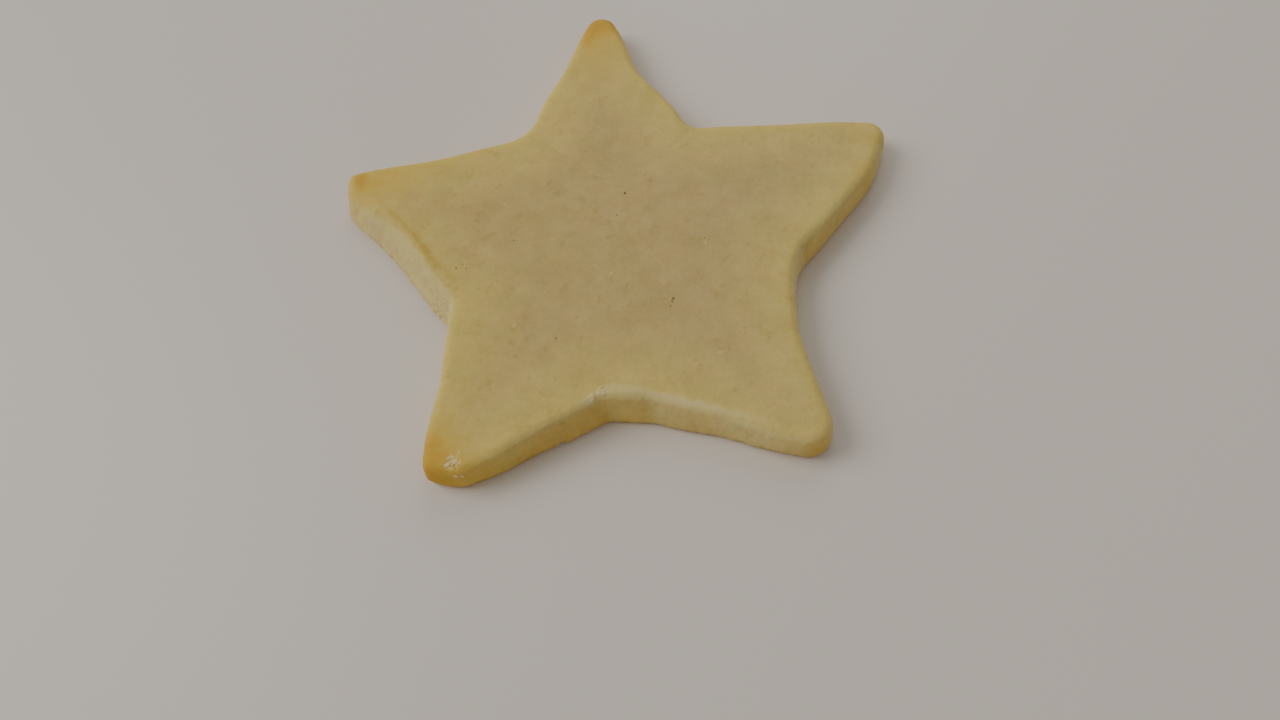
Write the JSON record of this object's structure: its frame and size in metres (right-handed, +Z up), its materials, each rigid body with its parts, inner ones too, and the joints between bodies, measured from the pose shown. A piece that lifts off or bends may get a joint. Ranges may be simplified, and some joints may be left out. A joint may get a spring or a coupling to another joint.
{
  "type": "butter cookie",
  "caption": "Star-shaped butter cookie with blunt, softly rounded arms, a flat underside and a pale, slightly domed top.",
  "frame": {"origin": "middle of the cookie's outline box, on its flat underside", "axes": "+Z up out of the top face, +Y towards the longest tip, +X to the right seen from above"},
  "size_m": [0.0842, 0.0816, 0.0064],
  "materials": {
    "baked_dough": "dry, matt, pale baked dough, browned at the tips"
  },
  "bodies": {
    "root": {"star_cookie": "baked_dough"}
  },
  "joints": []
}
